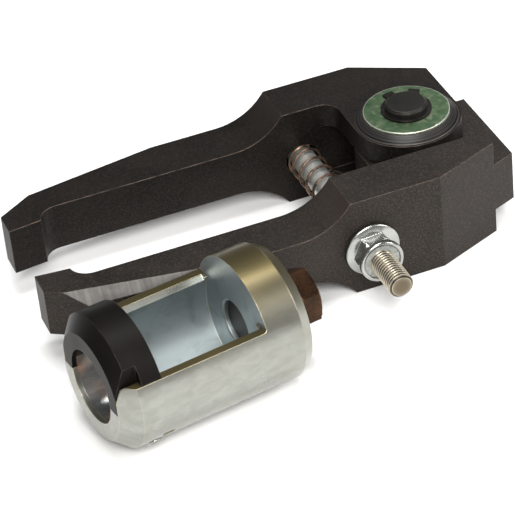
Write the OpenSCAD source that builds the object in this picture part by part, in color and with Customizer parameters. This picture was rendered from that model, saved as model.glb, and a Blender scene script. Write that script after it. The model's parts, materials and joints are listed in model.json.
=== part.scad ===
// Coil spring compressor set: a hinged jaw clamp drawn together by a bolt, and a
// windowed socket with a lift-off half collar and a forcing screw.
// X runs from the jaw tips to the knuckle, Y from the near jaw to the far jaw, Z is up.
// The origin is on the pivot axis, on the surface that the tool lies on.

/* [Jaw block] */
// Height of the thick rear block of each jaw
block_h = 50; // [46:0.5:60]
// Distance from the pivot axis to the front edge of the block
block_front = 52.2; // [50:0.1:53]
// Distance from the pivot axis to the rear face of the block
block_rear = 25.8; // [25.8:0.1:28]
// Distance from the middle plane to the outer side of each jaw
outer_y = 54; // [52:0.5:60]
// Distance from the middle plane to the inner side of each jaw
inner_y = 29.4; // [28:0.1:30]
// Where the rear chamfer of both jaws starts, behind the pivot axis if positive
chamfer_start = -7.5; // [-10:0.5:-4]
// Half width left at the rear face of the far jaw
far_rear_y = 34.7; // [33:0.1:40]
// Half width left at the rear face of the tongue
tongue_rear_y = 35.4; // [34:0.1:38]

/* [Knuckle] */
// Radius of the round ears and of the tongue's boss
boss_r = 25.9; // [25:0.1:26]
// Thickness of each ear of the far jaw
ear_t = 12; // [11:0.1:13]
// Side clearance between the tongue and each ear
ear_gap = 0.3; // [0.2:0.05:0.5]
// Distance from the pivot axis to the rear end of the tongue
tongue_rear = 37.6; // [36:0.1:40]
// How far the tongue reaches past the pivot axis towards the far jaw
tongue_far = 18; // [16:0.5:20]
// Fillet between the far jaw's inner side and its ears
ear_fillet = 8.5; // [6:0.5:10]

/* [Arms] */
// Height of the arms, centred on the block
arm_t = 23.8; // [20:0.2:28]
// Distance from the pivot axis to the tips
arm_tip = 194.1; // [190:0.1:196]
// Length of the hook at each tip
hook_l = 16.3; // [14:0.1:18]
// Half gap between the hooks at the tips
hook_tip_y = 19.6; // [18:0.1:22]
// Half gap between the hooks at their inner end
hook_back_y = 21.4; // [20:0.1:23]
// Fillet behind the hook
hook_r = 9.3; // [8:0.1:9.4]
// Distance from the pivot axis to where the outer side starts to taper
taper_start = 111.6; // [100:0.1:120]
// Distance from the pivot axis to the end chamfer of the tip
taper_end = 177; // [174:0.5:180]
// Outer half width at the end chamfer
taper_y = 43.9; // [42:0.1:46]
// Outer half width at the tip
tip_y = 32.8; // [30:0.1:35]
// Radius of the curved neck between arm and block
neck_r = 32; // [28:0.5:36]
// Slope of the ground bevel on the near arm, from horizontal
bevel_tilt = 57.9; // [50:0.1:65]

/* [Pivot] */
// Radius of the pivot pin
pin_r = 10; // [9:0.5:10]
// Height of the pin above the block
pin_proud = 8.3; // [7:0.1:10]
// Radius of the washer on top of the knuckle, and of the spacer's top
washer_r = 20.6; // [19:0.1:22]
// Radius of the conical spacer's base
spacer_r = 24.8; // [22:0.1:25.5]
// Height of the spacer
spacer_h = 2.8; // [2:0.1:4]
// Thickness of the pivot washers and retaining rings
ring_t = 1.2; // [1:0.1:1.4]
// Outer radius of the pressed-in pivot bush
bush_r = 12.5; // [12:0.1:14]
// Radius of the recess under the lower ear
recess_r = 14.5; // [14:0.1:15.5]

/* [Draw bolt] */
// Distance from the pivot axis to the bolt axis
bolt_x = 43.5; // [42:0.1:45]
// Height of the bolt axis
bolt_z = 23; // [21:0.5:27]
// Radius of the bolt
bolt_r = 6; // [6:0.1:6.2]
// Y place of the bolt's free end
bolt_tip = 88.3; // [80:0.1:92]
// Width across flats of the bolt's head and of the nut
bolt_flats = 18; // [17:0.5:19]
// Height of the bolt's head
head_h = 7.5; // [6:0.1:9]
// Radius of the domed washers' ball face
dome_r = 17; // [16.8:0.1:17.2]
// Depth of the ball seats in the jaws
seat_depth = 4.2; // [4:0.05:4.4]
// Gap between the ball faces and their seats
seat_gap = 0.3; // [0.25:0.05:0.4]
// Radius of the nut's flange
flange_r = 13.4; // [13:0.1:14]
// Radius of the nut's locking collar
collar_r = 10.6; // [10:0.1:11]

/* [Return spring] */
// Mean radius of the coils
coil_r = 7.75; // [7.5:0.05:8.2]
// Radius of the wire
wire_r = 0.65; // [0.5:0.05:0.8]
// Number of coils
coils = 7; // [5:1:9]
// Room between each end of the spring and its jaw
spring_gap = 0.75; // [0.7:0.05:1.5]

/* [Socket] */
// X place of the socket's front face
socket_x = -195.4; // [-198:0.1:-190]
// Y place of the socket's front face
socket_y = -101.8; // [-110:0.1:-101.4]
// Angle of the socket's axis from X
socket_turn = 9.4; // [8:0.1:10]
// Outer radius of the socket
socket_r = 32.2; // [32:0.1:32.4]
// Length of the socket
socket_l = 94; // [92:0.5:98]
// Radius of the front face
face_r = 25; // [24.5:0.1:25.4]
// Length of the body's front cone
cone_l = 8.2; // [7:0.1:9]
// Length of the collar's front cone
collar_cone_l = 5.2; // [4:0.1:6]
// Radius of the main bore
cavity_r = 25.5; // [25:0.1:26]
// Radius of the front bore that grips the shaft
grip_r = 17.3; // [16:0.1:18]
// Height of the window's flat above the axis
window_z = 13.3; // [12:0.1:14]
// Distance from the front face to the window's end wall
wall_s = 72.5; // [70:0.5:74]
// Distance from the front face to the collar's rear face
collar_l = 20.3; // [19:0.1:22]
// Length of the collar's narrow front part
key_l = 11; // [10:0.5:12]
// Half width of the collar's narrow front part
key_y = 24; // [23.5:0.1:24.5]
// Thickness of the body's front flange
flange_l = 14; // [12:0.5:15]

/* [Forcing screw] */
// Radius of the screw's thread
screw_r = 8; // [8:0.1:8.2]
// Width across flats of the screw's head
screw_flats = 24; // [22:0.5:25]
// Distance from the front face to the outer end of the head
head_end = 110.3; // [108:0.1:112]
// Height of the head
screw_head_h = 10; // [8:0.5:11]
// Radius of the counterbore that holds the pad
pad_hole_r = 11; // [10.5:0.1:12]

/* [Hidden] */
$fn = 64;

black = [0.22, 0.21, 0.20];
zinc = [0.75, 0.76, 0.72];
steel = [0.62, 0.63, 0.65];
hardware_black = [0.12, 0.11, 0.11];
spring_brown = [0.35, 0.24, 0.18];
nylon = [0.80, 0.80, 0.76];
bronze = [0.66, 0.48, 0.26];

over = 1;                                     // how far cutters run past a face
fit = 0.05;                                   // radial clearance of a running fit
arm_top = (block_h + arm_t) / 2;
arm_bottom = (block_h - arm_t) / 2;
neck_start = block_front + sqrt(neck_r * neck_r - pow(block_h - arm_top - neck_r, 2));
hook_x = arm_tip - hook_l;
tongue_z = ear_t + ear_gap;
near_chamfer_slope = (outer_y - tongue_rear_y) / (tongue_rear - chamfer_start);
near_rear_y = outer_y - near_chamfer_slope * (block_rear - chamfer_start);
slot_r = bolt_r + 0.7;
slot_shift = 2;
stack_top = block_h + spacer_h + ring_t;      // top of the upper washer
groove_r = pin_r - 0.5;
lower_groove_z = 1.6;
recess_depth = lower_groove_z + 2 * ring_t;
dome_back = dome_r - seat_depth;              // ball centre to the jaw's outer side
washer_lift = 1;                              // washer's flat above the jaw's outer side
nut_face = outer_y + washer_lift;
nut_flange_t = 1.8;
nut_hex_t = 6.7;
nut_collar_t = 3.8;
insert_r = 8.6;
spring_l = 2 * (inner_y - spring_gap - wire_r);
spring_turn = 180;                            // where the coil starts, round from the knuckle
liner_out_r = 21.5;
lip_l = 2.5;
rear_cone_s = 89.1;
rear_cone_r = 29.5;
joint_z = -1;                                 // height of the split across the front bore
seam = 0.3;                                   // gap between the collar and the body
liner_top = 4.5;                              // height of the liner's two ends
window_corner = 1.5;
screw_angle = 141;                            // round from the top to the small screw
screw_s = 17;
screw_floor_r = 26.5;
screw_bore_s = 80.5;                          // where the pad's counterbore ends
pad_s = 74.6;
pad_t = 4.8;

// ---- jaws ----

// Outline of a jaw seen from above, on the +Y side, with its rear corner given
module jaw_outline(rear_y) {
    difference() {
        polygon([
            [-arm_tip, hook_tip_y],
            [-hook_x, hook_back_y],
            [-hook_x + hook_r, hook_back_y],
            [-hook_x + hook_r, inner_y],
            [block_rear, inner_y],
            [block_rear, rear_y],
            [chamfer_start, outer_y],
            [-taper_start, outer_y],
            [-taper_end, taper_y],
            [-arm_tip, tip_y],
        ]);
        translate([-hook_x + hook_r, inner_y - hook_r])
            circle(r = hook_r);
    }
}

// Everything to remove above the arm; mirrored, it also clears the space below
module above_arm() {
    translate([-arm_tip - over, 0, arm_top])
        cube([arm_tip + over - neck_start, outer_y + over, block_h]);
    translate([-neck_start, -over, arm_top + neck_r])
        rotate([-90, 0, 0])
            cylinder(r = neck_r, h = outer_y + 2 * over, $fn = 128);
}

module jaw_side(rear_y) {
    difference() {
        linear_extrude(block_h)
            jaw_outline(rear_y);
        above_arm();
        translate([0, 0, block_h])
            mirror([0, 0, 1])
                above_arm();
    }
}

// Ball seat and slotted clearance hole along the draw bolt, on the +Y side
module bolt_way() {
    translate([-bolt_x, outer_y + dome_back, bolt_z])
        sphere(r = dome_r + seat_gap, $fn = 96);
    translate([-bolt_x, inner_y - over, bolt_z])
        rotate([-90, 0, 0]) {
            for (side = [-1, 1])
                translate([side * slot_shift, 0, 0])
                    cylinder(r = slot_r, h = outer_y - inner_y + 2 * over);
            translate([-slot_shift, -slot_r, 0])
                cube([2 * slot_shift, 2 * slot_r, outer_y - inner_y + 2 * over]);
        }
}

// Plane ground across the upper outer edge of the near arm
module ground_bevel() {
    bevel_start = [-186.4, -37.7, arm_top];
    bevel_turn = -11.3;
    bevel_l = 110;
    bevel_w = 40;
    translate(bevel_start)
        rotate([0, 0, bevel_turn])
            rotate([bevel_tilt, 0, 0])
                translate([-bevel_w / 2, -bevel_w, 0])
                    cube([bevel_l, 2 * bevel_w, bevel_w]);
}

// Middle layer of the near jaw, which fits between the far jaw's ears
module tongue_outline() {
    circle(r = boss_r, $fn = 96);
    translate([0, -over])
        square([tongue_rear, tongue_far + over]);
    polygon([
        [-boss_r, 0],
        [tongue_rear, 0],
        [tongue_rear, -tongue_rear_y],
        [block_rear, -near_rear_y],
        [block_rear, -inner_y - over],
        [-boss_r, -inner_y - over],
    ]);
}

module near_jaw() {
    color(black)
        difference() {
            union() {
                mirror([0, 1, 0])
                    jaw_side(near_rear_y);
                translate([0, 0, tongue_z])
                    linear_extrude(block_h - 2 * tongue_z)
                        tongue_outline();
            }
            mirror([0, 1, 0])
                bolt_way();
            ground_bevel();
            translate([0, 0, -over])
                cylinder(r = bush_r, h = block_h + 2 * over);
        }
}

module ear_outline() {
    circle(r = boss_r, $fn = 96);
    translate([-boss_r, 0])
        square([boss_r + block_rear, inner_y + over]);
    difference() {
        translate([-boss_r - ear_fillet, inner_y - ear_fillet])
            square([ear_fillet + over, ear_fillet + over]);
        translate([-boss_r - ear_fillet, inner_y - ear_fillet])
            circle(r = ear_fillet);
    }
}

module far_jaw() {
    color(black)
        difference() {
            union() {
                jaw_side(far_rear_y);
                for (z = [0, block_h - ear_t])
                    translate([0, 0, z])
                        linear_extrude(ear_t)
                            ear_outline();
            }
            bolt_way();
            translate([0, 0, -over])
                cylinder(r = pin_r + fit, h = block_h + 2 * over);
            translate([0, 0, -over])
                cylinder(r = recess_r, h = recess_depth + over);
        }
}

// ---- pivot ----

module pivot_pin() {
    pin_chamfer = 1;
    color(hardware_black)
        difference() {
            union() {
                cylinder(r = pin_r, h = block_h + pin_proud - pin_chamfer);
                translate([0, 0, block_h + pin_proud - pin_chamfer])
                    cylinder(r1 = pin_r, r2 = pin_r - pin_chamfer, h = pin_chamfer);
            }
            for (z = [lower_groove_z, stack_top])
                translate([0, 0, z])
                    difference() {
                        cylinder(r = pin_r + over, h = ring_t + fit);
                        translate([0, 0, -over])
                            cylinder(r = groove_r, h = ring_t + 3 * over);
                    }
        }
}

module flat_ring(outer, inner, height) {
    difference() {
        cylinder(r = outer, h = height, $fn = 96);
        translate([0, 0, -over])
            cylinder(r = inner, h = height + 2 * over);
    }
}

module pivot_bush() {
    color(bronze)
        translate([0, 0, tongue_z])
            flat_ring(bush_r, pin_r + fit, block_h - 2 * tongue_z);
}

module pivot_spacer() {
    color(hardware_black)
        translate([0, 0, block_h])
            difference() {
                cylinder(r1 = spacer_r, r2 = washer_r, h = spacer_h, $fn = 96);
                translate([0, 0, -over])
                    cylinder(r = pin_r + fit, h = spacer_h + 2 * over);
            }
}

module pivot_washer() {
    color(zinc)
        translate([0, 0, block_h + spacer_h])
            flat_ring(washer_r, pin_r + 0.3, ring_t);
}

// External retaining ring with two drilled lugs beside its gap
module snap_ring(outer, lug_reach) {
    gap_angle = 24;
    lug_angle = 24;
    lug_w = 5.4;
    lug_hole_r = 1;
    linear_extrude(ring_t)
        difference() {
            union() {
                circle(r = outer, $fn = 96);
                for (side = [-1, 1])
                    rotate(side * (gap_angle + lug_angle) / 2)
                        translate([groove_r + over, -lug_w / 2])
                            square([lug_reach - groove_r - over, lug_w]);
            }
            circle(r = groove_r, $fn = 96);
            polygon([
                [0, 0],
                [2 * outer * cos(gap_angle / 2), 2 * outer * sin(gap_angle / 2)],
                [2 * outer * cos(gap_angle / 2), -2 * outer * sin(gap_angle / 2)],
            ]);
            for (side = [-1, 1])
                rotate(side * (gap_angle + lug_angle) / 2)
                    translate([outer + 0.4, 0])
                        circle(r = lug_hole_r, $fn = 24);
        }
}

module retaining_ring() {
    gap_direction = 76;
    color(hardware_black)
        translate([0, 0, stack_top])
            rotate(gap_direction)
                snap_ring(12.1, 16.2);
}

module lower_washer() {
    color(zinc)
        translate([0, 0, recess_depth - ring_t])
            flat_ring(recess_r - 0.4, pin_r + 0.3, ring_t);
}

module lower_ring() {
    color(hardware_black)
        translate([0, 0, lower_groove_z])
            snap_ring(12.1, 13.8);
}

// ---- draw bolt ----

// Puts a shape built along +Z on the bolt's axis, with +Z turned to +Y
module on_bolt(y) {
    translate([-bolt_x, y, bolt_z])
        rotate([-90, 0, 0])
            children();
}

module hexagon(flats, height) {
    cylinder(r = flats / 2 / cos(30), h = height, $fn = 6);
}

// Hexagon whose outer corners are turned off by a cone at its far end
module turned_hexagon(flats, height) {
    corner = flats / 2 / cos(30);
    turn = corner - flats / 2 + 0.2;
    intersection() {
        hexagon(flats, height);
        union() {
            cylinder(r = corner + over, h = height - turn / 2);
            translate([0, 0, height - turn / 2])
                cylinder(r1 = corner, r2 = corner - turn, h = turn / 2);
        }
    }
}

module draw_bolt() {
    tip_chamfer = 1.2;
    color(zinc) {
        on_bolt(nut_face)
            turned_hexagon(bolt_flats, head_h);
        on_bolt(-bolt_tip + tip_chamfer)
            cylinder(r = bolt_r, h = bolt_tip - tip_chamfer + nut_face + over);
        on_bolt(-bolt_tip)
            cylinder(r1 = bolt_r - tip_chamfer, r2 = bolt_r, h = tip_chamfer);
    }
}

// Washer with a flat back and a ball face, on the +Y side of the clamp
module domed_washer(hole_r) {
    rim_r = 11.6;
    color(zinc)
        on_bolt(outer_y + dome_back)
            difference() {
                intersection() {
                    sphere(r = dome_r, $fn = 96);
                    translate([0, 0, -dome_r])
                        cylinder(r = rim_r, h = dome_r - dome_back + washer_lift);
                }
                translate([0, 0, -dome_r - over])
                    cylinder(r = hole_r, h = dome_r + over);
            }
}

module head_washer() {
    domed_washer(bolt_r + 0.4);
}

module seat_washer() {
    mirror([0, 1, 0])
        domed_washer(bolt_r + fit);
}

// Hexagon nut with a washer flange and a rolled collar round its insert
module flange_nut() {
    rim = 0.7;
    hex_top = nut_flange_t + nut_hex_t;
    color(zinc)
        mirror([0, 1, 0])
            on_bolt(nut_face)
                difference() {
                    union() {
                        cylinder(r = flange_r, h = nut_flange_t - rim);
                        translate([0, 0, nut_flange_t - rim])
                            cylinder(r1 = flange_r, r2 = flange_r - 2 * rim, h = rim);
                        translate([0, 0, nut_flange_t - fit])
                            hexagon(bolt_flats, nut_hex_t);
                        translate([0, 0, hex_top - fit * 2])
                            cylinder(r = collar_r, h = nut_collar_t - rim);
                        translate([0, 0, hex_top + nut_collar_t - rim - fit * 2])
                            cylinder(r1 = collar_r, r2 = collar_r - rim, h = rim);
                    }
                    translate([0, 0, -over])
                        cylinder(r = bolt_r + fit, h = 20);
                    translate([0, 0, hex_top])
                        cylinder(r = insert_r, h = 20);
                }
}

module nut_insert() {
    color(nylon)
        mirror([0, 1, 0])
            on_bolt(nut_face + nut_flange_t + nut_hex_t)
                flat_ring(insert_r, bolt_r + fit, nut_collar_t - 1);
}

// ---- return spring ----

// Ring of points round the wire at turn t, measured in degrees along the coil
function wire_ring(t, sides) = [
    for (k = [0:sides - 1])
        let (
            a = 360 * k / sides,
            r = coil_r + wire_r * cos(a),
            way = t + spring_turn
        )
            [r * cos(way), r * sin(way), spring_l * t / (360 * coils) + wire_r * sin(a)]
];

module return_spring() {
    sides = 6;
    steps = 16 * coils;
    rings = [for (i = [0:steps]) each wire_ring(360 * coils * i / steps, sides)];
    walls = [
        for (i = [0:steps - 1], k = [0:sides - 1])
            let (a = i * sides + k, b = i * sides + (k + 1) % sides)
                [a, a + sides, b + sides, b]
    ];
    first_cap = [for (k = [0:sides - 1]) k];
    last_cap = [for (k = [0:sides - 1]) steps * sides + sides - 1 - k];
    color(spring_brown)
        on_bolt(-spring_l / 2)
            polyhedron(rings, concat(walls, [first_cap, last_cap]));
}

// ---- socket ----

// Places a shape whose +Z runs along the socket's axis, +Y is up and +X points to the jaws
module on_socket(s) {
    translate([socket_x, socket_y, socket_r])
        rotate([0, 0, socket_turn])
            rotate([90, 0, 90])
                translate([0, 0, s])
                    children();
}

// Solid of revolution of the socket's outside, with a front cone of the given length
module socket_turned(front_cone, length) {
    rotate_extrude($fn = 128)
        polygon([
            [0, 0],
            [face_r, 0],
            [socket_r, front_cone],
            [socket_r, min(length, rear_cone_s)],
            [length > rear_cone_s ? rear_cone_r : socket_r, length],
            [0, length],
        ]);
}

// Block above the window's flat, with a rounded lower rear corner
module window_cut() {
    top = socket_r + over;
    translate([-top, window_z + window_corner, -over])
        cube([2 * top, top, wall_s + over]);
    translate([-top, window_z, -over])
        cube([2 * top, window_corner + over, wall_s - window_corner + over]);
    translate([-top, window_z + window_corner, wall_s - window_corner])
        rotate([0, 90, 0])
            cylinder(r = window_corner, h = 2 * top);
}

// Bevel along both long edges of the window's flat, up to its rounded corner
module window_bevel() {
    bevel = 2.2;
    half = sqrt(cavity_r * cavity_r - pow(window_z - bevel, 2));
    translate([0, 0, -over])
        linear_extrude(wall_s - window_corner + over)
            polygon([
                [-half, window_z - bevel],
                [half, window_z - bevel],
                [half + bevel + 0.1, window_z + 0.1],
                [-half - bevel - 0.1, window_z + 0.1],
            ]);
}

module socket_body() {
    slot_angle = 127;
    slot_s = 19;
    rim = 0.8;
    color(zinc)
        on_socket(0)
            difference() {
                socket_turned(cone_l, socket_l);
                translate([0, 0, flange_l])
                    cylinder(r = cavity_r, h = wall_s - flange_l, $fn = 128);
                translate([0, 0, -over])
                    cylinder(r = grip_r, h = flange_l + 2 * over);
                translate([0, 0, lip_l])
                    cylinder(r = liner_out_r, h = flange_l);
                window_cut();
                window_bevel();
                translate([-key_y - seam, joint_z, -over])
                    cube([2 * (key_y + seam), socket_r, collar_l + seam + over]);
                translate([0, 0, wall_s - over])
                    cylinder(r = pad_hole_r, h = screw_bore_s - wall_s + over);
                translate([0, 0, wall_s - rim])
                    cylinder(r1 = pad_hole_r + 2 * rim, r2 = pad_hole_r, h = 2 * rim);
                translate([0, 0, wall_s])
                    cylinder(r = screw_r + fit, h = socket_l);
                rotate(screw_angle)
                    translate([0, 0, screw_s])
                        rotate([-90, 0, 0])
                            translate([0, 0, screw_floor_r])
                                cylinder(r = 2.5, h = socket_r);
                rotate(slot_angle)
                    translate([-1.5, socket_r - 1.8, slot_s])
                        cube([3, 3, 6]);
            }
}

module gate_collar() {
    color(hardware_black)
        on_socket(0)
            difference() {
                socket_turned(collar_cone_l, collar_l);
                translate([0, 0, -over])
                    cylinder(r = grip_r, h = collar_l + 2 * over);
                translate([0, 0, lip_l - seam])
                    cylinder(r = liner_out_r + seam, h = collar_l);
                translate([-socket_r - over, -socket_r - over, -over])
                    cube([2 * socket_r + 2 * over, socket_r + over + joint_z + seam, collar_l + 2 * over]);
                for (side = [0, 1])
                    mirror([side, 0, 0]) {
                        translate([key_y, -socket_r, -over])
                            cube([socket_r, 2 * socket_r, key_l + over]);
                        translate([key_y, -socket_r, -over])
                            cube([socket_r, socket_r + window_z + seam, collar_l + 2 * over]);
                    }
            }
}

module bore_liner() {
    groove_w = 0.5;
    color(steel)
        on_socket(lip_l + 0.05)
            difference() {
                flat_ring(liner_out_r, grip_r + 0.3, flange_l - lip_l);
                translate([-liner_out_r - over, liner_top, -over])
                    cube([2 * liner_out_r + 2 * over, liner_out_r, flange_l + over]);
                for (angle = [115, 140])
                    rotate(-angle)
                        translate([-groove_w / 2, grip_r, -over])
                            cube([groove_w, 0.8, flange_l + over]);
            }
}

module side_screw() {
    color(zinc)
        on_socket(screw_s)
            rotate(screw_angle)
                rotate([-90, 0, 0]) {
                    translate([0, 0, screw_floor_r])
                        cylinder(r = 2.4, h = socket_r - screw_floor_r + over);
                    translate([0, 0, socket_r + 0.1])
                        cylinder(r1 = 3.6, r2 = 2.6, h = 1.1);
                }
}

module forcing_screw() {
    color(hardware_black)
        on_socket(0) {
            translate([0, 0, pad_s + pad_t + 0.1])
                cylinder(r = screw_r, h = head_end - pad_s - pad_t - screw_head_h + over);
            translate([0, 0, head_end - screw_head_h])
                rotate(12)
                    turned_hexagon(screw_flats, screw_head_h);
        }
}

module thrust_pad() {
    color(hardware_black)
        on_socket(pad_s) {
            cylinder(r1 = pad_hole_r - 1.1, r2 = pad_hole_r - 0.4, h = 0.7);
            translate([0, 0, 0.7])
                cylinder(r = pad_hole_r - 0.4, h = pad_t - 0.7);
        }
}

near_jaw();
far_jaw();
pivot_pin();
pivot_bush();
pivot_spacer();
pivot_washer();
retaining_ring();
lower_washer();
lower_ring();
draw_bolt();
head_washer();
seat_washer();
flange_nut();
nut_insert();
return_spring();
socket_body();
gate_collar();
bore_liner();
side_screw();
forcing_screw();
thrust_pad();
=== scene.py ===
"""Looks of the coil spring compressor set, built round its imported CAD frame."""

import json
import math

import bmesh
import bpy
from mathutils import Matrix, Vector


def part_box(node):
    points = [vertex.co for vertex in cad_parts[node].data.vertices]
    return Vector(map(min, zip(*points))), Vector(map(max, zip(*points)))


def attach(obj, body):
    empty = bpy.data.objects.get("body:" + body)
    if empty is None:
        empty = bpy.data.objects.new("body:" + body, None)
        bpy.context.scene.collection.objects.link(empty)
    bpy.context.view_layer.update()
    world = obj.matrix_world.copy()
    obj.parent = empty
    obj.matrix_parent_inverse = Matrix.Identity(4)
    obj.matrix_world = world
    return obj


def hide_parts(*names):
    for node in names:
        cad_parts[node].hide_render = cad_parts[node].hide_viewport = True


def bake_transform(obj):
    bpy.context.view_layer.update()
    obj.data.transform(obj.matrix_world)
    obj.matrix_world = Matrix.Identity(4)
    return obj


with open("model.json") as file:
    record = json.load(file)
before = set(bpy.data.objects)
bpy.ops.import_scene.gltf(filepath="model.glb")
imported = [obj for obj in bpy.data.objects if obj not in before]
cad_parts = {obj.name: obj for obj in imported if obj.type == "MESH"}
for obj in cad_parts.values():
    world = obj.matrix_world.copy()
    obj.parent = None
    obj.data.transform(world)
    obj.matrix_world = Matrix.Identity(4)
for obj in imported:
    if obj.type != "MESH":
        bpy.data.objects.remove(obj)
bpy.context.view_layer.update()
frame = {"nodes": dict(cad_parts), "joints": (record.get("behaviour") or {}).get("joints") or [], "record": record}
NODES = frame["nodes"]
MM = 0.001
LATHE_SIDES = 96
ROUND_SIDES = 48
RINGS_PER_PITCH = 8


# ---- places, taken from the CAD frame ----

BOLT_LOW, BOLT_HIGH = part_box("draw_bolt")
NUT_LOW, NUT_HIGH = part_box("flange_nut")
SPRING_LOW, SPRING_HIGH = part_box("return_spring")
JOINTS = {j["name"]: j for j in frame["joints"]}
BOLT_AXIS = Vector(JOINTS["bolt_swivel"]["pos_m"])
SOCKET_OUT = -Vector(JOINTS["pad_slide"]["axis"])
BORE = next(m for m in frame["record"]["mounts"] if m["name"] == "socket_bore")


def along(origin, direction):
    """Matrix that puts a shape built along +Z at origin, pointing along direction."""
    turn = direction.to_track_quat("Z", "Y").to_matrix().to_4x4()
    return Matrix.Translation(origin) @ turn


# ---- meshes ----


def finish_mesh(name, mesh_parts, place, material, body, replaced):
    """Makes an object from vertices and faces, shades it by angle and lets it ride its body."""
    verts, faces = mesh_parts
    mesh = bpy.data.meshes.new(name)
    mesh.from_pydata([place @ Vector(v) for v in verts], [], faces)
    mesh.validate()
    built = bmesh.new()
    built.from_mesh(mesh)
    bmesh.ops.recalc_face_normals(built, faces=built.faces)
    built.to_mesh(mesh)
    built.free()
    mesh.shade_smooth()
    mesh.set_sharp_from_angle(angle=math.radians(32))
    mesh.materials.append(material)
    piece = bpy.data.objects.new(name, mesh)
    bpy.context.scene.collection.objects.link(piece)
    if body:
        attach(piece, body)
    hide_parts(*replaced)
    return piece


def hex_radius(angle, flats):
    return flats / 2 / math.cos((angle + math.pi / 6) % (math.pi / 3) - math.pi / 6)


def lathe(profile):
    """Hollow turned shape along +Z, from a closed profile. Each point is (r, z) or
    (r, z, flats): with flats, the radius stops at a hexagon of that width."""
    verts, faces, rings = [], [], []
    for r, z, *flats in profile[:-1]:
        ring = []
        for k in range(LATHE_SIDES):
            a = 2 * math.pi * k / LATHE_SIDES
            reach = min(r, hex_radius(a, flats[0])) if flats else r
            ring.append(len(verts))
            verts.append((reach * math.cos(a), reach * math.sin(a), z))
        rings.append(ring)
    for low, high in zip(rings, rings[1:] + rings[:1]):
        for k in range(LATHE_SIDES):
            after = (k + 1) % LATHE_SIDES
            faces.append([low[k], low[after], high[after], high[k]])
    return verts, faces


def arc(centre, radius, start, end, steps=6):
    """Points (r, z) of a profile's round corner, with angles in degrees."""
    turns = [math.radians(start + (end - start) * k / steps) for k in range(steps + 1)]
    return [
        (centre[0] + radius * math.cos(t), centre[1] + radius * math.sin(t))
        for t in turns
    ]


def thread(radius, depth, pitch, z0, z1, runout):
    """Rings of a rolled thread from z0 to z1, which fades out over runout at both ends."""
    rings = []
    steps = round((z1 - z0) / pitch * RINGS_PER_PITCH)
    for i in range(steps + 1):
        z = z0 + (z1 - z0) * i / steps
        fade = min(1, max(0, (z - z0) / runout[0]), max(0, (z1 - z) / runout[1]))
        ring = []
        for k in range(ROUND_SIDES):
            phase = (z / pitch - k / ROUND_SIDES) % 1
            crest = min(1, max(0, 1.6 * abs(2 * phase - 1) - 0.3))
            ring.append(radius - depth * fade * crest)
        rings.append((z, ring))
    return rings


def ringed(rings):
    """Closed solid from (z, radii) rings, capped at both ends."""
    sides = ROUND_SIDES
    verts, faces = [], []
    for z, radii in rings:
        for k, r in enumerate(radii):
            a = 2 * math.pi * k / sides
            verts.append((r * math.cos(a), r * math.sin(a), z))
    for i in range(len(rings) - 1):
        for k in range(sides):
            a, b = i * sides + k, i * sides + (k + 1) % sides
            faces.append([a, b, b + sides, a + sides])
    verts.append((0, 0, rings[0][0]))
    verts.append((0, 0, rings[-1][0]))
    first, last = len(verts) - 2, len(verts) - 1
    top = (len(rings) - 1) * sides
    for k in range(sides):
        faces.append([first, (k + 1) % sides, k])
        faces.append([last, top + k, top + (k + 1) % sides])
    return verts, faces


def even(radius, z):
    return z, [radius] * ROUND_SIDES


def hexagonal(radius, flats, z):
    return z, [
        min(radius, hex_radius(2 * math.pi * k / ROUND_SIDES, flats))
        for k in range(ROUND_SIDES)
    ]


# ---- materials ----


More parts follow.
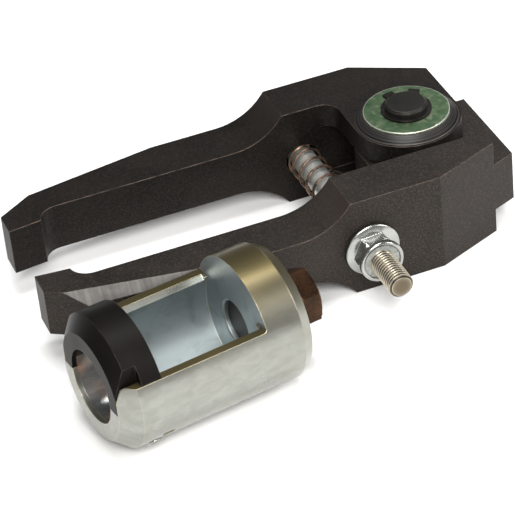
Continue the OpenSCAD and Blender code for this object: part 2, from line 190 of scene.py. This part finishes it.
class Surface:
    """A Principled material whose colour, roughness and bump come from nodes."""

    def __init__(self, name, metallic, specular=0.5):
        self.material = bpy.data.materials.new(name)
        self.material.use_nodes = True
        self.tree = self.material.node_tree
        self.shader = self.tree.nodes["Principled BSDF"]
        self.shader.inputs["Metallic"].default_value = metallic
        self.shader.inputs["Specular IOR Level"].default_value = specular
        self.place = self.node("ShaderNodeTexCoord").outputs["Object"]
        self.normal = None

    def node(self, kind, **inputs):
        made = self.tree.nodes.new(kind)
        for key, value in inputs.items():
            self.feed(made.inputs[key], value)
        return made

    def feed(self, socket, value):
        if isinstance(value, bpy.types.NodeSocket):
            self.tree.links.new(value, socket)
        else:
            socket.default_value = value

    def math(self, operation, a, b):
        made = self.tree.nodes.new("ShaderNodeMath")
        made.operation = operation
        self.feed(made.inputs[0], a)
        self.feed(made.inputs[1], b)
        return made.outputs[0]

    def noise(self, scale, detail=4.0, stretch=(1, 1, 1), turn=(0, 0, 0), distortion=0.0):
        """Noise with features about 1/scale metres wide, stretched along its own axes."""
        mapped = self.node("ShaderNodeMapping", Vector=self.place)
        mapped.inputs["Rotation"].default_value = turn
        mapped.inputs["Scale"].default_value = stretch
        made = self.node("ShaderNodeTexNoise", Vector=mapped.outputs[0])
        made.inputs["Scale"].default_value = scale
        made.inputs["Detail"].default_value = detail
        made.inputs["Distortion"].default_value = distortion
        return made.outputs["Fac"]

    def ramp(self, value, *stops):
        """Colour ramp; each stop is (position, (r, g, b)) or (position, grey)."""
        made = self.node("ShaderNodeValToRGB", Fac=value)
        points = made.color_ramp.elements
        while len(points) < len(stops):
            points.new(0.5)
        for point, (position, colour) in zip(points, stops):
            rgb = colour if isinstance(colour, tuple) else (colour,) * 3
            point.position = position
            point.color = (*rgb, 1)
        return made.outputs["Color"]

    def mix(self, mask, a, b, blend="MIX"):
        made = self.tree.nodes.new("ShaderNodeMix")
        made.data_type = "RGBA"
        made.blend_type = blend
        self.feed(made.inputs["Factor"], mask)
        for socket, value in ((made.inputs[6], a), (made.inputs[7], b)):
            self.feed(socket, (*value, 1) if isinstance(value, tuple) else value)
        return made.outputs[2]

    def edges(self, radius, low=0.02, high=0.2):
        """Mask that is white on the edges, from how far a rounded normal leans. The bump
        is then laid on the rounded normal."""
        rounded = self.tree.nodes.new("ShaderNodeBevel")
        rounded.samples = 6
        rounded.inputs["Radius"].default_value = radius
        facing = self.tree.nodes.new("ShaderNodeNewGeometry")
        lean = self.tree.nodes.new("ShaderNodeVectorMath")
        lean.operation = "DOT_PRODUCT"
        self.tree.links.new(rounded.outputs["Normal"], lean.inputs[0])
        self.tree.links.new(facing.outputs["True Normal"], lean.inputs[1])
        away = self.math("SUBTRACT", 1.0, lean.outputs["Value"])
        self.normal = rounded.outputs["Normal"]
        return self.ramp(away, (low, 0.0), (high, 1.0))

    def facing(self, direction, low, high):
        """Mask of the faces whose normal points along a direction fixed on the object."""
        normal = self.tree.nodes.new("ShaderNodeTexCoord").outputs["Normal"]
        lean = self.tree.nodes.new("ShaderNodeVectorMath")
        lean.operation = "DOT_PRODUCT"
        self.tree.links.new(normal, lean.inputs[0])
        lean.inputs[1].default_value = direction
        return self.ramp(lean.outputs["Value"], (low, 0.0), (high, 1.0))

    def from_axis(self, point, direction):
        """Distance in metres from a line fixed on the object."""
        shifted = self.tree.nodes.new("ShaderNodeVectorMath")
        shifted.operation = "SUBTRACT"
        self.tree.links.new(self.place, shifted.inputs[0])
        shifted.inputs[1].default_value = point
        crossed = self.tree.nodes.new("ShaderNodeVectorMath")
        crossed.operation = "CROSS_PRODUCT"
        self.tree.links.new(shifted.outputs[0], crossed.inputs[0])
        crossed.inputs[1].default_value = direction
        length = self.tree.nodes.new("ShaderNodeVectorMath")
        length.operation = "LENGTH"
        self.tree.links.new(crossed.outputs[0], length.inputs[0])
        return length.outputs["Value"]

    def distance_along(self, point, direction):
        """Distance in metres from a point, measured along a direction fixed on the object."""
        lean = self.tree.nodes.new("ShaderNodeVectorMath")
        lean.operation = "DOT_PRODUCT"
        self.tree.links.new(self.place, lean.inputs[0])
        lean.inputs[1].default_value = direction
        return self.math("SUBTRACT", lean.outputs["Value"], Vector(point).dot(Vector(direction)))

    def rings(self, point, direction, scale):
        """Fine concentric marks left by a lathe round a line."""
        made = self.tree.nodes.new("ShaderNodeTexNoise")
        made.noise_dimensions = "1D"
        self.tree.links.new(self.from_axis(point, direction), made.inputs["W"])
        made.inputs["Scale"].default_value = scale
        made.inputs["Detail"].default_value = 3
        return made.outputs["Fac"]

    def bump(self, height, strength, distance):
        made = self.node("ShaderNodeBump", Height=height)
        made.inputs["Strength"].default_value = strength
        made.inputs["Distance"].default_value = distance
        if self.normal is not None:
            self.tree.links.new(self.normal, made.inputs["Normal"])
        self.normal = made.outputs["Normal"]
        self.feed(self.shader.inputs["Normal"], self.normal)

    def finish(self, colour, roughness):
        self.feed(self.shader.inputs["Base Color"], colour)
        self.feed(self.shader.inputs["Roughness"], roughness)
        return self.material


def black_oxide(name, dark, light, worn, edge=0.7 * MM, rough=(0.38, 0.56), metallic=0.5,
                specular=0.18, cloudy=28):
    """Blackened steel: fine grain, faint handling marks and worn brownish edges."""
    s = Surface(name, metallic=metallic, specular=specular)
    cloud = s.noise(cloudy, 5, distortion=0.6)
    grain = s.noise(1100, 3)
    base = s.ramp(cloud, (0.3, dark), (0.72, light))
    base = s.mix(s.ramp(grain, (0.5, 0.0), (0.72, 0.4)), base, light)
    wear = s.edges(edge, 0.015, 0.16)
    broken = s.math("MULTIPLY", wear, s.ramp(s.noise(240, 4), (0.36, 0.1), (0.62, 0.7)))
    colour = s.mix(broken, base, worn)
    s.bump(grain, 0.2, 0.1 * MM)
    return s.finish(colour, s.ramp(cloud, (0.3, rough[0]), (0.75, rough[1])))


def jaw_black(name, painted_shading):
    """Speckled black jaw steel with a painted highlight on the necks and bare on the ground bevel. Its colours are
    scaled down to paint the jaw's shade.
    """
    colours = (0.019, 0.0165, 0.014), (0.036, 0.031, 0.027), (0.075, 0.058, 0.050)
    dark, light, speck = (tuple(painted_shading * c for c in colour) for colour in colours)
    neck_sheen_normal = (-0.8, 0, 0.6)
    bevel_normal = (-0.1666, -0.8308, 0.5314)
    s = Surface(name, metallic=0.55, specular=0.2)
    cloud = s.noise(24, 6, distortion=0.8)
    grain = s.noise(1150, 3)
    base = s.ramp(cloud, (0.3, dark), (0.75, light))
    base = s.mix(s.ramp(grain, (0.46, 0.0), (0.7, 0.75)), base, speck)
    wear = s.edges(0.7 * MM, 0.015, 0.15)
    broken = s.math("MULTIPLY", wear, s.ramp(s.noise(210, 4), (0.36, 0.15), (0.62, 0.85)))
    # Painted highlight: faces turned like the neck get the lighter speck colour.
    neck = s.math("MULTIPLY", s.facing(neck_sheen_normal, 0.86, 0.98), 0.55)
    base = s.mix(neck, base, speck)
    ground = s.facing(bevel_normal, 0.992, 0.998)
    streak = s.noise(600, 5, stretch=(1, 0.05, 0.05), turn=(0, 0.2, 0), distortion=0.3)
    patch = s.noise(85, 5, distortion=0.5)
    bare = s.ramp(streak, (0.36, (0.075, 0.07, 0.067)), (0.64, (0.11, 0.105, 0.10)))
    bare = s.mix(s.ramp(patch, (0.4, 0.0), (0.7, 0.65)), bare, (0.042, 0.039, 0.038))
    colour = s.mix(ground, s.mix(broken, base, (0.17, 0.125, 0.10)), bare)
    s.bump(grain, 0.25, 0.12 * MM)
    rough = s.mix(ground, s.ramp(cloud, (0.3, 0.42), (0.75, 0.56)), (0.42,) * 3)
    return s.finish(colour, rough)


def plated(name, base, dark, tint, rough, marks=0.35):
    """Cloudy plate or bronze with a tinted stain and bright worn edges."""
    s = Surface(name, metallic=0.92)
    cloud = s.noise(60, 6, distortion=1.0)
    stain = s.noise(14, 4, distortion=0.5)
    fine = s.noise(1500, 2)
    colour = s.ramp(cloud, (0.3, dark), (0.6, base))
    colour = s.mix(s.ramp(stain, (0.5, 0.0), (0.72, marks)), colour, tint)
    wear = s.edges(0.4 * MM)
    colour = s.mix(s.math("MULTIPLY", wear, 0.7), colour, (0.9, 0.88, 0.8))
    s.bump(fine, 0.08, 0.05 * MM)
    return s.finish(colour, s.ramp(cloud, (0.3, rough[0]), (0.75, rough[1])))


def socket_plate():
    """Pale zinc outside with painted shade in a golden tone on top; bluish and duller inside the window."""
    golden_from = 28 * MM
    bored_within = 25.7 * MM
    inside_from, inside_to = 12 * MM, 88 * MM
    s = Surface("socket_zinc", metallic=0.9)
    cloud = s.noise(260, 6, stretch=(0.5, 1, 1), distortion=0.6)
    stain = s.noise(26, 6, distortion=0.4)
    fine = s.noise(1300, 3)
    outside = s.ramp(cloud, (0.36, (0.275, 0.28, 0.25)), (0.64, (0.32, 0.325, 0.295)))
    outside = s.mix(s.ramp(stain, (0.45, 0.0), (0.75, 0.25)), outside, (0.26, 0.235, 0.16))
    outer = s.math("GREATER_THAN", s.from_axis(BORE["pos_m"], SOCKET_OUT), golden_from)
    # Painted shade: upward outer faces are made darker and golden.
    golden_top_shade = s.math("MULTIPLY", s.facing((0, 0, 1), 0.35, 0.95), outer)
    outside = s.mix(golden_top_shade, outside, (0.17, 0.138, 0.066))
    inside = s.ramp(stain, (0.35, (0.31, 0.35, 0.36)), (0.7, (0.36, 0.405, 0.415)))
    inside = s.mix(s.ramp(s.noise(90, 6, distortion=0.8), (0.5, 0.0), (0.72, 0.55)), inside,
                   (0.17, 0.20, 0.19))
    bored = s.math("LESS_THAN", s.from_axis(BORE["pos_m"], SOCKET_OUT), bored_within)
    end_wall = s.facing(-SOCKET_OUT, 0.9, 0.99)
    depth = s.distance_along(BORE["pos_m"], SOCKET_OUT)
    deep = s.math("MULTIPLY", s.math("GREATER_THAN", depth, inside_from),
                  s.math("LESS_THAN", depth, inside_to))
    hollow = s.math("MULTIPLY", s.math("MAXIMUM", bored, end_wall), deep)
    colour = s.mix(hollow, outside, inside)
    wear = s.edges(0.6 * MM)
    colour = s.mix(s.math("MULTIPLY", wear, 0.7), colour, (0.80, 0.70, 0.46))
    s.bump(fine, 0.12, 0.05 * MM)
    s.bump(cloud, 0.06, 0.1 * MM)
    rough = s.mix(hollow, s.ramp(stain, (0.3, 0.25), (0.75, 0.36)), (0.5,) * 3)
    return s.finish(colour, rough)


def threaded(name, crest, groove, origin, direction):
    """Plated M12 thread round an axis, with painted shade in its grooves. The shank between the jaws is painted
    brighter as painted light, and the free end darker."""
    bright_from = 30 * MM
    s = Surface(name, metallic=0.88)
    cloud = s.noise(200, 5, distortion=0.8)
    face = s.mix(s.ramp(cloud, (0.35, 0.0), (0.7, 0.4)), crest, tuple(0.6 * c for c in crest))
    # Painted light: the shank between the jaws is made near white.
    painted_light_shank = s.math("GREATER_THAN", s.distance_along(origin, direction), bright_from)
    face = s.mix(painted_light_shank, face, (0.86, 0.9, 0.87))
    reach = s.math("DIVIDE", s.from_axis(origin, direction), 6 * MM)
    # Painted shade: the thread grooves are darkened.
    groove_shade = s.ramp(reach, (0.79, 0.0), (0.81, 1.0), (0.92, 0.9), (0.985, 0.0))
    colour = s.mix(groove_shade, face, groove)
    colour = s.mix(s.facing(-Vector(direction), 0.9, 0.99), colour, (0.13, 0.105, 0.07))
    s.bump(cloud, 0.05, 0.1 * MM)
    return s.finish(colour, s.ramp(cloud, (0.3, 0.28), (0.7, 0.4)))


def washer_zinc():
    """Greenish zinc faces with fine turning marks and a bright rim, partly wear and partly a painted highlight."""
    s = Surface("washer_zinc", metallic=0.7)
    cloud = s.noise(260, 6, distortion=0.8)
    marks = s.rings((0, 0, 0), (0, 0, 1), 1500)
    face = s.ramp(cloud, (0.30, (0.045, 0.095, 0.043)), (0.52, (0.08, 0.14, 0.07)),
                  (0.72, (0.19, 0.22, 0.14)))
    # The wide bright rim is partly wear, partly a painted highlight.
    wear = s.edges(1.1 * MM, 0.008, 0.09)
    colour = s.mix(wear, face, (0.78, 0.76, 0.68))
    s.bump(marks, 0.15, 0.05 * MM)
    return s.finish(colour, s.ramp(cloud, (0.3, 0.32), (0.7, 0.46)))


def turned_black():
    """Blackened cone with lathe marks round the pivot; their light rings are a painted highlight."""
    s = Surface("turned_black", metallic=0.5, specular=0.2)
    marks = s.rings((0, 0, 0), (0, 0, 1), 1400)
    cloud = s.noise(60, 4, stretch=(1, 1, 0.4))
    # The marks are real; the light stop of their ramp is a painted highlight.
    base = s.ramp(marks, (0.36, (0.010, 0.0095, 0.009)), (0.66, (0.06, 0.057, 0.053)))
    base = s.mix(s.ramp(cloud, (0.45, 0.0), (0.7, 0.5)), base, (0.03, 0.028, 0.026))
    wear = s.edges(0.35 * MM)
    colour = s.mix(s.math("MULTIPLY", wear, 0.6), base, (0.35, 0.33, 0.3))
    s.bump(marks, 0.35, 0.08 * MM)
    return s.finish(colour, s.ramp(cloud, (0.3, 0.3), (0.7, 0.42)))


def liner_steel():
    """Bare bored steel with ring marks and a painted copper-coloured reflection."""
    s = Surface("liner_steel", metallic=0.85)
    marks = s.rings(BORE["pos_m"], SOCKET_OUT, 900)
    length = s.noise(90, 3, stretch=(0.3, 1, 1), distortion=0.4)
    base = s.ramp(length, (0.38, (0.27, 0.29, 0.31)), (0.62, (0.42, 0.41, 0.40)))
    # Painted reflection: copper-coloured patches laid on the bore.
    copper_reflection = s.ramp(s.noise(45, 3), (0.44, 0.0), (0.6, 0.75))
    colour = s.mix(copper_reflection, base, (0.36, 0.20, 0.11))
    s.bump(marks, 0.1, 0.05 * MM)
    return s.finish(colour, s.ramp(length, (0.3, 0.16), (0.7, 0.28)))


def nylon():
    s = Surface("nylon", metallic=0.0, specular=0.4)
    cloud = s.noise(500, 3)
    s.bump(cloud, 0.1, 0.1 * MM)
    colour = s.ramp(cloud, (0.3, (0.20, 0.21, 0.20)), (0.7, (0.34, 0.35, 0.33)))
    return s.finish(colour, s.ramp(cloud, (0.3, 0.5), (0.7, 0.62)))


def spring_wire():
    s = Surface("spring_wire", metallic=0.7)
    cloud = s.noise(220, 4)
    colour = s.ramp(cloud, (0.35, (0.06, 0.038, 0.026)), (0.55, (0.17, 0.105, 0.07)),
                    (0.72, (0.42, 0.30, 0.22)))
    s.bump(cloud, 0.06, 0.05 * MM)
    return s.finish(colour, s.ramp(cloud, (0.3, 0.26), (0.7, 0.4)))


def floor_white():
    s = Surface("floor_white", metallic=0.0, specular=0.2)
    cloud = s.noise(3, 2)
    colour = s.ramp(cloud, (0.3, 0.86), (0.7, 0.88))
    return s.finish(colour, s.ramp(cloud, (0.3, 0.85), (0.7, 0.9)))


def paint(material, *names):
    """Gives CAD nodes their material."""
    for name in names:
        node = NODES[name]
        node.data.materials.clear()
        node.data.materials.append(material)


ZINC = plated("bolt_zinc", (0.42, 0.43, 0.41), (0.28, 0.29, 0.28), (0.34, 0.31, 0.22),
              (0.16, 0.28), marks=0.3)
WASHER = washer_zinc()
COLLAR = black_oxide("collar_black", (0.003, 0.0026, 0.0024), (0.008, 0.0066, 0.0058),
                     (0.12, 0.10, 0.08), edge=0.5 * MM, rough=(0.36, 0.5), metallic=0.25,
                     specular=0.09)
STUD = threaded("bolt_plain", (0.52, 0.47, 0.37), (0.035, 0.027, 0.02), BOLT_AXIS, (0, 1, 0))
HEX = black_oxide("hex_black", (0.006, 0.0045, 0.004), (0.085, 0.04, 0.017),
                  (0.24, 0.12, 0.06), edge=0.6 * MM, rough=(0.24, 0.34), metallic=0.7,
                  cloudy=70)
PIN = black_oxide("pin_black", (0.012, 0.0115, 0.010), (0.026, 0.025, 0.022),
                  (0.22, 0.17, 0.14), edge=0.6 * MM, rough=(0.4, 0.55))
RING = black_oxide("ring_black", (0.008, 0.0075, 0.007), (0.022, 0.02, 0.018),
                   (0.12, 0.10, 0.09), edge=0.25 * MM, rough=(0.3, 0.45))
BRONZE = plated("bronze", (0.62, 0.44, 0.24), (0.45, 0.30, 0.16), (0.35, 0.22, 0.12),
                (0.3, 0.45))

# One jaw steel at two brightnesses: the far jaw is painted much darker, as painted shade.
paint(jaw_black("jaw_near", 0.9), "near_jaw")
paint(jaw_black("jaw_far", 0.48), "far_jaw")
paint(PIN, "pivot_pin", "thrust_pad")
paint(RING, "retaining_ring", "lower_ring")
paint(WASHER, "pivot_washer", "lower_washer")
paint(turned_black(), "pivot_spacer")
paint(BRONZE, "pivot_bush")
paint(ZINC, "head_washer", "seat_washer", "side_screw")
paint(nylon(), "nut_insert")
paint(socket_plate(), "socket_body")
paint(COLLAR, "gate_collar")
paint(liner_steel(), "bore_liner")


# ---- pieces with finer shape than the CAD solids ----


def draw_bolt():
    """M12 bolt: rolled thread from the free end, plain shank, chamfered hexagon head."""
    radius = 6 * MM
    flats = 18 * MM
    length = BOLT_HIGH.y - BOLT_LOW.y
    head = 7.5 * MM
    pitch, groove = 1.75 * MM, 0.95 * MM
    thread_start, thread_end = 1.0 * MM, 62 * MM
    shank = length - head
    corner = flats / math.sqrt(3)
    rings = [even(radius - 1.5 * MM, 0), even(radius - 1.3 * MM, 0.1 * MM)]
    rings += thread(radius, groove, pitch, thread_start, thread_end, (0.8 * MM, 3 * MM))
    rings += [even(radius, 62.2 * MM), even(radius, shank)]
    rings += [
        hexagonal(corner, flats, shank),
        hexagonal(corner, flats, length - 0.8 * MM),
        hexagonal(corner - 0.7 * MM, flats, length - 0.3 * MM),
        even(flats / 2 - 0.3 * MM, length),
    ]
    start = Vector((BOLT_AXIS.x, BOLT_LOW.y, BOLT_AXIS.z))
    place = along(start, Vector((0, 1, 0)))
    finish_mesh("bolt_threaded", ringed(rings), place, STUD, "bolt",
                ["draw_bolt"])


def flange_nut():
    """Flange nut: rounded flange, hexagon turned off by cones, and a rolled collar."""
    flange, bore = 13.4 * MM, 6.05 * MM
    flats = 18 * MM
    corner = flats / math.sqrt(3)
    height = NUT_HIGH.y - NUT_LOW.y
    turned = math.radians(-24)
    hex_top = 8.5 * MM
    recess = 8.6 * MM
    collar = 10.6 * MM
    lip = (collar - recess) / 2
    profile = [(bore, 0), (flange - 0.4 * MM, 0)]
    profile += arc((flange - 0.7 * MM, 0.7 * MM), 0.7 * MM, -60, 75)
    profile += [
        (corner + 0.9 * MM, 2.1 * MM),
        (corner, 2.5 * MM, flats),
        (corner, hex_top - 0.5 * MM, flats),
        (corner - 0.8 * MM, hex_top, flats),
        (flats / 2 - 0.2 * MM, hex_top + 0.15 * MM),
        (collar - 2 * lip + 0.6 * MM, hex_top + 0.2 * MM),
        (collar - 0.5 * MM, hex_top + 0.4 * MM),
        (collar, hex_top + 1.0 * MM),
    ]
    profile += arc((collar - lip, height - lip), lip, 0, 180, 10)
    profile += [(recess, hex_top), (bore, hex_top), (bore, 0)]
    base = Vector((BOLT_AXIS.x, NUT_HIGH.y, BOLT_AXIS.z))
    place = along(base, Vector((0, -1, 0))) @ Matrix.Rotation(turned, 4, "Z")
    finish_mesh("nut_rolled", lathe(profile), place, ZINC, "nut",
                ["flange_nut"])


def forcing_screw():
    """M16 screw with its thread in the body and a hexagon head outside. Its two ends are
    measured from the socket's front face, and the bore's mount lies behind that face."""
    radius = 8 * MM
    flats = 24 * MM
    head = 10 * MM
    pitch, groove = 2 * MM, 1.1 * MM
    tip, head_end, mount = 79.5, 110.3, 1.1
    start = Vector(BORE["pos_m"]) + SOCKET_OUT * (tip - mount) * MM
    end = Vector(BORE["pos_m"]) + SOCKET_OUT * (head_end - mount) * MM
    length = (end - start).length
    corner = flats / math.sqrt(3)
    neck = length - head
    rings = [even(radius - 1.4 * MM, 0)]
    runout = (0.8 * MM, 0.6 * MM)
    rings += thread(radius, groove, pitch, 0.3 * MM, neck - 0.8 * MM, runout)
    rings += [
        even(radius, neck - 0.02 * MM),
        even(flats / 2 - 0.4 * MM, neck),
        hexagonal(corner - 0.8 * MM, flats, neck + 0.1 * MM),
        hexagonal(corner, flats, neck + 0.7 * MM),
        hexagonal(corner, flats, length - 1.1 * MM),
        hexagonal(corner - 0.9 * MM, flats, length - 0.45 * MM),
        even(flats / 2 - 0.15 * MM, length - 0.05 * MM),
        even(flats / 2 - 0.6 * MM, length),
    ]
    place = along(start, SOCKET_OUT)
    finish_mesh("screw_threaded", ringed(rings), place, HEX, "screw",
                ["forcing_screw"])


def return_spring():
    """Loose coil of round wire with closed ends, laid along the bolt."""
    wire = 0.65 * MM
    coil = (SPRING_HIGH.x - SPRING_LOW.x) / 2 - wire
    turns, per_turn, sides = 8, 28, 12
    closed, closed_rise, first_turn = 0.75, 1.4 * MM, math.radians(294)
    centre = (SPRING_LOW + SPRING_HIGH) / 2
    start, end = SPRING_LOW.y + wire, SPRING_HIGH.y - wire
    verts, faces = [], []
    count = turns * per_turn
    open_rise = (end - start - 2 * closed * closed_rise) / (turns - 2 * closed)
    for i in range(count + 1):
        done = i / per_turn
        flat = min(done, closed) + max(0, done - turns + closed)
        y = start + flat * closed_rise + (done - flat) * open_rise
        rise = open_rise if closed < done < turns - closed else closed_rise
        turn = first_turn + 2 * math.pi * done
        out = Vector((math.cos(turn), 0, -math.sin(turn)))
        middle = Vector((centre.x, y, centre.z)) + coil * out
        forward = Vector((-math.sin(turn), 0, -math.cos(turn))) * coil * 2 * math.pi
        forward = (forward + Vector((0, rise, 0))).normalized()
        side = forward.cross(out)
        for k in range(sides):
            a = 2 * math.pi * k / sides
            verts.append(middle + wire * (math.cos(a) * out + math.sin(a) * side))
    for i in range(count):
        for k in range(sides):
            a, b = i * sides + k, i * sides + (k + 1) % sides
            faces.append([a, b, b + sides, a + sides])
    faces.append(list(range(sides)))
    faces.append([count * sides + k for k in reversed(range(sides))])
    piece = finish_mesh("spring_coil", (verts, faces), Matrix.Identity(4), spring_wire(), None,
                        ["return_spring"])
    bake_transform(piece)


draw_bolt()
flange_nut()
forcing_screw()
return_spring()


# ---- stage ----


def add_camera():
    """Camera at the photograph's viewing angle."""
    azimuth, elevation, roll = (math.radians(a) for a in (-17.96, 35.84, -6.15))
    distance, aside, above = 1273.4 * MM, -70.6 * MM, -66.8 * MM
    aim = Vector((0, 0, 50 * MM))
    back = Vector((math.sin(azimuth) * math.cos(elevation),
                   -math.cos(azimuth) * math.cos(elevation), math.sin(elevation)))
    level = Vector((math.cos(azimuth), math.sin(azimuth), 0))
    right = math.cos(roll) * level + math.sin(roll) * back.cross(level)
    up = back.cross(right)
    data = bpy.data.cameras.new("camera")
    data.sensor_width = 36
    data.lens = 188.1
    data.clip_end = 20
    camera = bpy.data.objects.new("camera", data)
    turn = Matrix((right, up, back)).transposed().to_4x4()
    place = aim + back * distance + right * aside + up * above
    camera.matrix_world = Matrix.Translation(place) @ turn
    bpy.context.scene.collection.objects.link(camera)
    bpy.context.scene.camera = camera


def add_floor():
    half = 3.0
    drop = 0.0002
    mesh = bpy.data.meshes.new("floor")
    edge = [(-half, -half, 0), (half, -half, 0), (half, half, 0), (-half, half, 0)]
    mesh.from_pydata(edge, [], [(0, 1, 2, 3)])
    mesh.materials.append(floor_white())
    floor = bpy.data.objects.new("floor", mesh)
    floor.location.z = -drop
    bpy.context.scene.collection.objects.link(floor)


def add_light(name, place, target, size, power, colour=(1, 1, 1)):
    data = bpy.data.lights.new(name, "AREA")
    data.shape = "RECTANGLE"
    data.size, data.size_y = size
    data.energy = power
    data.color = colour
    lamp = bpy.data.objects.new(name, data)
    place, target = Vector(place), Vector(target)
    lamp.matrix_world = along(place, place - target)
    bpy.context.scene.collection.objects.link(lamp)


def add_world(level):
    """Soft, nearly even studio surround, slightly cooler overhead."""
    world = bpy.data.worlds.new("studio")
    world.use_nodes = True
    tree = world.node_tree
    place = tree.nodes.new("ShaderNodeTexCoord")
    height = tree.nodes.new("ShaderNodeSeparateXYZ")
    ramp = tree.nodes.new("ShaderNodeValToRGB")
    ramp.color_ramp.elements[0].position = 0.05
    ramp.color_ramp.elements[0].color = (level, level, level, 1)
    ramp.color_ramp.elements[1].position = 0.9
    ramp.color_ramp.elements[1].color = (level * 0.96, level * 0.98, level, 1)
    tree.links.new(place.outputs["Generated"], height.inputs[0])
    tree.links.new(height.outputs["Z"], ramp.inputs["Fac"])
    tree.links.new(ramp.outputs["Color"], tree.nodes["Background"].inputs["Color"])
    bpy.context.scene.world = world


MIDDLE = (-0.08, -0.03, 0.02)
add_camera()
add_floor()
add_world(0.16)
add_light("key", (-0.35, -1.1, 1.05), MIDDLE, (0.9, 0.6), 27, (1.0, 0.985, 0.96))
add_light("side", (1.1, -0.7, 0.8), MIDDLE, (0.5, 0.8), 13)
add_light("top", (-0.02, 0.05, 1.4), MIDDLE, (0.6, 0.6), 14)
add_light("back", (0.75, 1.1, 0.95), MIDDLE, (0.35, 0.5), 1.5)
bpy.context.scene.view_settings.view_transform = "Standard"
